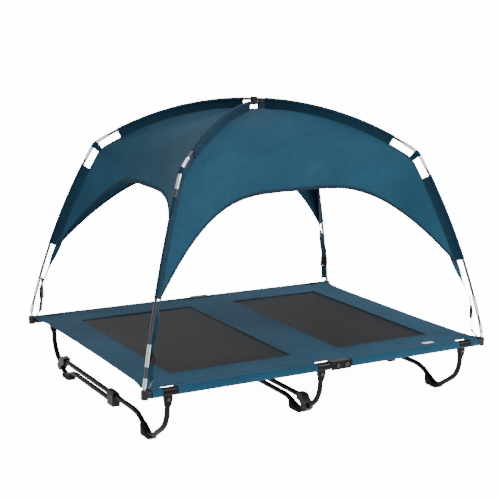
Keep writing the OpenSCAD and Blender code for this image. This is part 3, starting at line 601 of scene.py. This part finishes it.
def makeDeckCloth():
    half = deckProfile()
    profile = [(-y, z) for y, z in reversed(half)] + half[1:]
    columns = deckColumns()
    lengths = [0.0]
    for a, b in zip(profile, profile[1:]):
        lengths.append(lengths[-1] + math.dist(a, b))

    def place(u, v):
        i, j = round(u * (len(columns) - 1)), round(v * (len(profile) - 1))
        x, (y, z) = columns[i], profile[j]
        flat = abs(y) <= 0.4397 and z > bed["railZ"] + 0.0080
        cloth = (x, lengths[j] - lengths[-1] / 2)
        end = 0.585 - 0.006 * (1 - (abs(y) / 0.44) ** 2) + deck["flare"] * smoothStep((abs(y) - 0.34) / 0.10)
        end = end if flat else 0.5797
        if abs(x) > 0.548:
            x = math.copysign(0.548 + (abs(x) - 0.548) * (end - 0.548) / 0.037, x)
        if flat and z > sheetZ - 0.0005:
            z += deckRise(x, y)
        return Vector((x, y, z)), cloth

    piece = layGrid("deckCloth", len(columns) - 1, len(profile) - 1, place)
    makeActive(piece)
    for part in (*piece.data.vertices, *piece.data.edges):
        part.select = False
    for face in piece.data.polygons:
        x, y, z = face.center
        overMesh = any(a < x < b for a, b in (deck["meshLeft"], deck["meshRight"]))
        overNotch = any(a < x < b for a, b in deck["notches"])
        openMesh = overMesh and abs(y) < deck["meshY"] and z > sheetZ - 0.004
        notched = overNotch and (abs(y) > deck["edgeY"] or z < sheetZ - 0.0009)
        face.select = openMesh or notched
    bpy.ops.object.mode_set(mode="EDIT")
    bpy.ops.mesh.select_mode(type="FACE")
    bpy.ops.mesh.delete(type="FACE")
    bpy.ops.object.mode_set(mode="OBJECT")
    addModifier(piece, "SOLIDIFY", thickness=deck["thickness"], offset=0, use_even_offset=True)
    smooth(piece, 50)
    giveMaterial(piece, deckOxford)
    return piece


def deckTop(x, y, lift=0.0009):
    return Vector((x, y, sheetZ + deckRise(x, y) + lift)), Vector((0, 0, 1))


def straightLine(x0, y0, x1, y1, parts=40):
    return [deckTop(x0 + (x1 - x0) * i / parts, y0 + (y1 - y0) * i / parts) for i in range(parts + 1)]


def deckStitchLines():
    lines = []
    seamY = railY - deck["returnIn"] + 0.003
    for side in (-1, 1):
        for x0, x1 in [(-0.578, -0.5), (-0.5, -0.0365), (-0.0365, 0.0865), (0.0865, 0.5), (0.5, 0.578)]:
            lines.append(straightLine(x0, side * seamY, x1, side * seamY, 60))
        for a, b in deck["notches"]:
            lines.append(straightLine(a, side * 0.4345, b, side * 0.4345, 12))
    for end in (-1, 1):
        lines.append(straightLine(end * (0.583 - deck["hem"]), -0.425, end * (0.583 - deck["hem"]), 0.425))
    for a, b in (deck["meshLeft"], deck["meshRight"]):
        for out in (0.0035, 0.0105):  # a double row round each mesh opening
            y = deck["meshY"] + out
            lines.append(straightLine(a - out, -y, b + out, -y))
            lines.append(straightLine(a - out, y, b + out, y))
            lines.append(straightLine(a - out, -y, a - out, y))
            lines.append(straightLine(b + out, -y, b + out, y))
    for side in (-1, 1):  # the long seams carry on from the openings to the two ends
        for x0, x1 in ((-0.580, -0.4755), (-0.0445, 0.1085), (0.4755, 0.580)):
            lines.append(straightLine(x0, side * 0.3440, x1, side * 0.3440))
    return lines


meshPanel = {"sag": 0.004, "lap": 0.011, "thickness": 0.0009}


def makeMeshPanel(name, span, body, cadNode):
    x0, x1 = span[0] - meshPanel["lap"], span[1] + meshPanel["lap"]
    wide = deck["meshY"] + meshPanel["lap"]

    def place(u, v):
        x, y = x0 + (x1 - x0) * u, -wide + 2 * wide * v
        inside = smoothStep(min(u, 1 - u, v, 1 - v) * 3.2)
        sag = meshPanel["sag"] * inside * (1 - (2 * v - 1) ** 2)
        ripple = 0.0007 * noise.noise(Vector((x * 6, y * 4, 7.7))) * inside
        return Vector((x, y, sheetZ - 0.0016 - sag + ripple)), (x, y)

    piece = layGrid(name, 30, 44, place)
    addModifier(piece, "SOLIDIFY", thickness=meshPanel["thickness"], offset=0)
    smooth(piece, 50)
    giveMaterial(piece, seatMesh)
    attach(piece, body)
    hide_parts(cadNode)
    return piece


def makeLabelTab():
    label = {"place": (0.407, -0.4240), "size": (0.040, 0.017), "thickness": 0.0007}

    def place(u, v):
        x = label["place"][0] + (u - 0.5) * label["size"][0]
        y = label["place"][1] + (v - 0.5) * label["size"][1]
        x -= (0.0015 * (1 if u > 0.5 else -1)) if u in (0, 1) and v in (0, 1) else 0
        return deckTop(x, y, 0.0014)[0], (u * label["size"][0], v * label["size"][1])

    piece = layGrid("labelTab", 12, 6, place)
    addModifier(piece, "SOLIDIFY", thickness=label["thickness"], offset=0)
    smooth(piece)
    giveMaterial(piece, labelTape)
    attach(piece, "right_half")


print("laying the deck cloth and the mesh")
deckCloth = makeDeckCloth()
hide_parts("deck_cloth_left", "deck_cloth_right")
makeMeshPanel("meshPanelLeft", deck["meshLeft"], "left_half", "deck_mesh_left")
makeMeshPanel("meshPanelRight", deck["meshRight"], "right_half", "deck_mesh_right")
makeLabelTab()
deckStitching = stitchRows("deckStitching", deckStitchLines())
for piece in (deckCloth, deckStitching):
    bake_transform(piece)

# Four cut panels sewn into one dome
roof = {"tip": 0.930, "arch": 0.650, "power": 3.7, "sag": 0.055, "sagPower": 3.5, "thickness": 0.0012, "round": 0.085,
        "columns": 44, "rows": 40}
roofTurns = {"front": 0, "back": 180, "left": -90, "right": 90}


def roofEdge(u):
    return roof["tip"] - (roof["tip"] - roof["arch"]) * (1 - abs(u) ** roof["power"])


# Folds: pull lines from the elbow tabs and the tips, and a slack ripple along the arch
def roofFold(u, q, edge):
    fold = 0.0
    near = 1 - abs(u)
    elbow = plan["upperL"] + plan["elbowL"] / 2
    # each pull: length from the apex, height, reach, number of folds
    pulls = ((elbow, 0.0032, 0.17, 6), (roof["tip"], 0.0026, 0.16, 5), (0.0, 0.0016, 0.16, 7))
    for target, amount, reach, count in pulls:
        across, along = near * max(q, 0.05) * 0.75, q - target
        far = math.hypot(across, along)
        turn = math.atan2(along, across + 0.01)
        fold += amount * math.sin(count * turn + u) * math.exp(-(far / reach) ** 2) * smoothStep(far / 0.05)
    fold += 0.0013 * math.sin(u * 31 + 2 * math.sin(u * 5)) * math.exp(-(edge - q) / 0.035) * near
    fold += 0.0035 * noise.noise(Vector((u * 1.7, q * 4.5, 3.1))) * near
    return fold * smoothStep(near * 14)


# u from -1 to 1 across the panel, q the length down from the apex, lift outwards
def roofPoint(panel, u, q, lift=0.0):
    turn = math.radians(roofTurns[panel])
    frontBack = panel in ("front", "back")
    wide = math.cos(diagonal) if frontBack else math.sin(diagonal)
    deep = math.sin(diagonal) if frontBack else math.cos(diagonal)
    slack = roof["round"] * (1 - u * u)
    s = z = 0.0
    for share in (-1, -0.5, 0, 0.5, 1):
        at = q + share * slack * smoothStep(q / 0.2)
        one = poleAt(abs(at), pole["seam"])
        s += math.copysign(one[0], at) / 5
        z += one[1] / 5
    angle = poleAt(max(q, 0), 0)[2]
    out = roofFold(u, q, roofEdge(u)) + lift
    sag = roof["sag"] * (1 - abs(u) ** roof["sagPower"]) * (q / roofEdge(u)) ** 2
    x, y = u * s * wide, -s * deep + sag
    y -= out * math.cos(angle)
    z += out * math.sin(angle)
    turned = Matrix.Rotation(turn, 3, "Z")
    ends = [turned @ Vector((k * wide, -deep, 0)) for k in (-1, 1)]
    steps = [stepOf(math.copysign(1, e.x), math.copysign(1, e.y)) for e in ends]
    z += (steps[0] * (1 - u) / 2 + steps[1] * (1 + u) / 2) * smoothStep(q / 0.12)
    return turned @ Vector((x, y, z))


def makeRoof():
    panels = []
    for index, panel in enumerate(roofTurns):
        def place(u, v):
            across = 2 * u - 1
            q = roofEdge(across) * v
            return roofPoint(panel, across, q), (across * q * 0.75 + index * 2, q)
        panels.append(layGrid("roof" + panel, roof["columns"], roof["rows"], place))
    piece = joinPieces(panels, "roofCloth")
    fixNormals(piece, 0.00005)
    addModifier(piece, "SOLIDIFY", thickness=roof["thickness"], offset=0, use_even_offset=False)
    smooth(piece, 60)
    giveMaterial(piece, roofOxford)
    return piece


# Tape folded round the lower edge of each panel
def makeArchBinding():
    section = [(0.010, -0.0016), (0.0035, -0.0017), (-0.0006, -0.0013), (-0.0016, 0.0), (-0.0006, 0.0013),
               (0.0035, 0.0017), (0.010, 0.0016)]
    strips = []
    for panel in roofTurns:
        def place(u, v):
            across = 2 * u - 1
            back, lift = section[round(v * 6)]
            return roofPoint(panel, across * 0.998, roofEdge(across) - back, lift), (across * 0.75, v * 0.024)
        strips.append(layGrid("binding" + panel, 96, 6, place))
    piece = joinPieces(strips, "archBinding")
    addModifier(piece, "SOLIDIFY", thickness=0.0006, offset=0)
    smooth(piece, 60)
    giveMaterial(piece, bindingTape)
    return piece


# Pole pockets: flat two-layer fins with a sleeve along the outside, placed by length from the apex
pocket = {"sleeveR": 0.0052, "tabR": 0.0067, "layer": 0.0008, "thickness": 0.0007, "hem": 0.011,
          "upper": (0.036, plan["upperL"] - 0.066), "lower": (plan["elbowQ"] + 0.056, 0.930),
          "tab": (plan["upperL"] + plan["elbowL"] / 2 - 0.011, plan["upperL"] + plan["elbowL"] / 2 + 0.011)}


def pocketSection(radius):
    section = [(pole["seam"] + 0.0006, -pocket["layer"]), (0.022, -pocket["layer"] - 0.0004),
               (0.015, -pocket["layer"] - 0.0002), (radius + 0.0035, -pocket["layer"] - 0.0006)]
    for i in range(13):
        angle = math.radians(-30 - i * 25)
        section.append((radius * math.cos(angle), radius * math.sin(angle)))
    return section + [(off, -across) for off, across in reversed(section[:4])]


def makePocket(end, side, span, radius, grow=0.0):
    section = pocketSection(radius + grow)
    section = [(off, across + math.copysign(grow, across) if off > radius + 0.002 else across)
               for off, across in section]
    lengths = [0.0]
    for a, b in zip(section, section[1:]):
        lengths.append(lengths[-1] + math.dist(a, b))
    parts = max(4, round((span[1] - span[0]) / 0.012))

    def place(u, v):
        q = span[0] + (span[1] - span[0]) * u
        j = round(v * (len(section) - 1))
        off, across = section[j]
        toEnd = min(q - span[0], span[1] - q)
        swell = 1 + 0.10 * smoothStep((pocket["hem"] - toEnd) / 0.004)
        crease = 0.0006 * noise.noise(Vector((q * 22, off * 60, end + 2 * side)))
        across = across * swell + crease * (1 if off > 0.008 else 0.4)
        s, z, _ = poleAt(q, off)
        return cornerPoint(end, side, s, z + stepOf(end, side), across), (q, lengths[j])

    return layGrid("pocket", parts, len(section) - 1, place)


def makePockets():
    made = []
    for end, side in corners:
        made.append(makePocket(end, side, pocket["upper"], pocket["sleeveR"]))
        made.append(makePocket(end, side, pocket["lower"], pocket["sleeveR"]))
        made.append(makePocket(end, side, pocket["tab"], pocket["tabR"]))
    piece = joinPieces(made, "polePockets")
    addModifier(piece, "SOLIDIFY", thickness=pocket["thickness"], offset=0)
    smooth(piece, 60)
    giveMaterial(piece, pocketOxford)
    return piece


# Dark tape over both ends of every pocket, and a felled seam between the pockets and the roof, drawn in the dark tape
# partly as painted shade of the crease where they meet
def makePocketTapes():
    made = []
    for end, side in corners:
        for span, radius in ((pocket["upper"], pocket["sleeveR"]), (pocket["lower"], pocket["sleeveR"])):
            made.append(makePocket(end, side, (span[0] - 0.0006, span[0] + 0.0055), radius, 0.0007))
            made.append(makePocket(end, side, (span[1] - 0.0055, span[1] + 0.0006), radius, 0.0007))

        # the felled seam, a dark cord along the foot of the fin: partly the seam's relief, partly painted shade of the
        # crease
        def place(u, v, end=end, side=side):
            q = 0.012 + (roof["tip"] - 0.013) * u
            turn = v * 2 * math.pi
            s, z, _ = poleAt(q, pole["seam"] + 0.0006 + 0.0022 * math.cos(turn))
            z += stepOf(end, side) * smoothStep(q / 0.12)
            return cornerPoint(end, side, s, z, 0.0014 * math.sin(turn)), (q, v * 0.01)

        seam = layGrid("seam", 90, 8, place)
        fixNormals(seam, 0.0001)
        made.append(seam)
    piece = joinPieces(made, "pocketTapes")
    smooth(piece, 60)
    giveMaterial(piece, bindingTape)
    return piece


# The roof's stitches: along the pockets on both faces, at their hems, and above the bindings
def roofStitchLines():
    lines = []
    for end, side in corners:
        over = cornerPoint(end, side, 0, 0, 1)
        for span in (pocket["upper"], pocket["lower"]):
            for face in (-1, 1):
                for off in (0.0085, 0.0235):
                    line = []
                    for i in range(31):
                        q = span[0] + 0.003 + (span[1] - span[0] - 0.006) * i / 30
                        s, z, _ = poleAt(q, off)
                        line.append((cornerPoint(end, side, s, z + stepOf(end, side), face * 0.0018), over * face))
                    lines.append(line)
                for q in (span[0] + 0.007, span[1] - 0.007):
                    line = []
                    for i in range(6):
                        s, z, _ = poleAt(q, 0.008 + i * 0.0032)
                        line.append((cornerPoint(end, side, s, z + stepOf(end, side), face * 0.0018), over * face))
                    lines.append(line)
    for panel in roofTurns:
        line = []
        for i in range(91):
            u = -0.985 + 1.97 * i / 90
            q = roofEdge(u) - 0.0082
            here, above = roofPoint(panel, u, q, 0.0021), roofPoint(panel, u, q, 0.0121)
            line.append((here, (above - here).normalized()))
        lines.append(line)
    return lines


print("sewing the roof")
roofCloth = makeRoof()
archBinding = makeArchBinding()
polePockets = makePockets()
pocketTapes = makePocketTapes()
roofStitching = stitchRows("roofStitching", roofStitchLines())
for piece in (roofCloth, archBinding, polePockets, pocketTapes, roofStitching):
    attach(piece, "canopy")
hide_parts("roof_front", "roof_back", "roof_left", "roof_right")
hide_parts("pole_sleeves")

strap = {"width": 0.020, "thickness": 0.0013, "topOff": 0.0285}
buckle = {"s": footS - 0.037, "z": 0.285, "width": 0.026, "depth": 0.009, "headH": 0.009, "socketH": 0.027}
ringTop = {"s": footS - 0.031, "z": 0.2150, "loopR": 0.0028}


# A strap that follows (s, z) points in a corner's plane, as wide as it is across it
def makeStrap(name, end, side, line, width=None, twistOver=0.0):
    wide = width or strap["width"]
    lengths = [0.0]
    for a, b in zip(line, line[1:]):
        lengths.append(lengths[-1] + math.dist(a, b))

    def place(u, v):
        i = round(u * (len(line) - 1))
        s, z = line[i]
        turn = 0.0
        if twistOver:
            turn = math.radians(80) * (1 - smoothStep((lengths[i] - 0.02) / twistOver))
        reach = (v - 0.5) * wide
        return cornerPoint(end, side, s + reach * math.sin(turn), z, reach * math.cos(turn)), (lengths[i], v * wide)

    piece = layGrid(name, len(line) - 1, 4, place)
    addModifier(piece, "SOLIDIFY", thickness=strap["thickness"], offset=0)
    return piece


def between(a, b, parts):
    return [(a[0] + (b[0] - a[0]) * i / parts, a[1] + (b[1] - a[1]) * i / parts) for i in range(parts + 1)]


def canopyStrapLine(end, side):
    up = stepOf(end, side)
    line = []
    for i in range(5):  # sewn to the roof at the foot of the pocket
        s, z, _ = poleAt(0.900 + i * 0.007, strap["topOff"])
        line.append((s, z + up))
    bar = (buckle["s"], buckle["z"] + 0.0052)
    line += between(line[-1], (bar[0] + 0.0024, bar[1] + 0.0075), 10)[1:]
    for i in range(9):
        angle = math.radians(20 - i * 27)
        line.append((bar[0] + 0.0024 * math.cos(angle), bar[1] + 0.0024 * math.sin(angle)))
    low = line[-1]
    line += between(low, (low[0] - 0.0004, low[1] + 0.040), 6)[1:]
    return line


def anchorStrapLine():
    top = (buckle["s"] - 0.0013, buckle["z"] - buckle["socketH"] - 0.0008)
    line = between(top, (ringTop["s"] - ringTop["loopR"] - 0.0003, ringTop["z"] + 0.004), 6)
    for i in range(11):
        angle = math.radians(170 + i * 20.5)
        line.append((ringTop["s"] + ringTop["loopR"] * math.cos(angle),
                     ringTop["z"] + ringTop["loopR"] * math.sin(angle)))
    line += between(line[-1], (buckle["s"] + 0.0018, buckle["z"] - buckle["socketH"] - 0.0008), 5)[1:]
    return line


def addBlock(size, centre, bevel=0.0012, segments=3):
    deselectAll()
    bpy.ops.mesh.primitive_cube_add(size=1, location=centre)
    block = bpy.context.object
    block.scale = size
    applyPlace(block)
    if bevel:
        addModifier(block, "BEVEL", width=bevel, segments=segments, limit_method="ANGLE")
    return block


def cutFrom(piece, cutter):
    addModifier(piece, "BOOLEAN", operation="DIFFERENCE", object=cutter, solver="EXACT")
    bpy.data.objects.remove(cutter)


# Side-release buckle, modelled round its parting line: x is out along the diagonal, y across, z up
def makeSocket():
    body = addBlock((buckle["depth"], buckle["width"], buckle["socketH"] - 0.0004),
                    (0, 0, -buckle["socketH"] / 2 - 0.0004), 0.0022, 4)
    cutFrom(body, addBlock((0.0054, 0.0196, 0.0180), (0, 0, -0.0085), 0.0004, 1))  # mouth for the tongue
    for side in (-1, 1):  # side windows where the prongs are pressed
        cutFrom(body, addBlock((0.0050, 0.0100, 0.0100), (0, side * 0.0130, -0.0120), 0.0016, 3))
    cutFrom(body, addBlock((0.0120, 0.0200, 0.0022), (0, 0, -0.0232), 0.0006, 2))  # strap slot
    for face in (-1, 1):
        for row in range(3):  # grip ribs
            rib = addBlock((0.0010, 0.0110, 0.0011), (face * buckle["depth"] / 2, 0, -0.0155 + row * 0.0024), 0.0004, 2)
            body = joinPieces([body, rib], "socket")
    smooth(body, 40)
    return body


def makePlug():
    head = addBlock((buckle["depth"], buckle["width"], buckle["headH"]), (0, 0, buckle["headH"] / 2), 0.0020, 4)
    cutFrom(head, addBlock((0.0062, 0.0206, 0.0120), (0, 0, 0.0090), 0.0006, 2))  # well for the strap
    bar = addBlock((0.0030, 0.0212, 0.0030), (0, 0, 0.0052), 0.0010, 3)
    tongue = addBlock((0.0034, 0.0060, 0.0150), (0, 0, -0.0065), 0.0012, 3)
    parts = [head, bar, tongue]
    for side in (-1, 1):
        parts.append(addBlock((0.0034, 0.0024, 0.0130), (0, side * 0.0068, -0.0060), 0.0010, 3))
        parts.append(addBlock((0.0036, 0.0034, 0.0052), (0, side * 0.0074, -0.0118), 0.0012, 3))
    plug = joinPieces(parts, "plug")
    smooth(plug, 40)
    return plug


def cornerMatrix(end, side, s, z):
    out = Vector((end * math.cos(diagonal), side * math.sin(diagonal), 0))
    turned = Matrix((out, Vector((-out.y, out.x, 0)), Vector((0, 0, 1)))).transposed().to_4x4()
    return Matrix.Translation(out * s + Vector((0, 0, z))) @ turned


# A box of stitches across a strap, with the cross inside it
def boxStitch(end, side, centre, high, offset):
    half, tall = strap["width"] / 2 - 0.003, high / 2
    out = cornerPoint(end, side, 1, 0)
    marks = [(-half, -tall), (half, -tall), (half, tall), (-half, tall), (-half, -tall), (half, tall)]
    cross = [(half, -tall), (-half, tall)]
    return [[(cornerPoint(end, side, centre[0] + offset, centre[1] + z, y), out) for y, z in line]
            for line in (marks, cross)]


def makeCorners():
    socket, plug = makeSocket(), makePlug()
    groups = {"canopyStraps": [], "plugs": [], "socketsLeft": [], "socketsRight": [], "loopsLeft": [], "loopsRight": []}
    boxes = []
    for end, side in corners:
        hand = "Left" if end < 0 else "Right"
        groups["canopyStraps"].append(makeStrap("canopyStrap", end, side, canopyStrapLine(end, side), twistOver=0.10))
        place = cornerMatrix(end, side, buckle["s"], buckle["z"])
        groups["plugs"].append(copyPiece(plug, place))
        groups["sockets" + hand].append(copyPiece(socket, place))
        groups["loops" + hand].append(makeStrap("loop", end, side, anchorStrapLine(), 0.0185))
        boxes += boxStitch(end, side, (buckle["s"] - 0.0024, buckle["z"] + 0.024), 0.016, -0.0009)
    bpy.data.objects.remove(socket)
    bpy.data.objects.remove(plug)
    finishes = {"canopyStraps": (strapWebbing, "webbing", "canopy", ["canopy_straps"]),
                "plugs": (capNylon, "black_plastic", "canopy", ["buckle_plugs"]),
                "socketsLeft": (capNylon, "black_plastic", "left_half", ["buckle_sockets_left"]),
                "socketsRight": (capNylon, "black_plastic", "right_half", ["buckle_sockets_right"]),
                "loopsLeft": (strapWebbing, "webbing", "left_half", ["anchor_straps_left"]),
                "loopsRight": (strapWebbing, "webbing", "right_half", ["anchor_straps_right"])}
    for name, (material, slotName, body, replaced) in finishes.items():
        piece = joinPieces(groups[name], name)
        smooth(piece, 45)
        giveMaterial(piece, material)
        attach(piece, body)
        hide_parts(*replaced)
    stitching = stitchRows("strapStitching", boxes)
    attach(stitching, "canopy")


print("fitting the straps and buckles")
makeCorners()
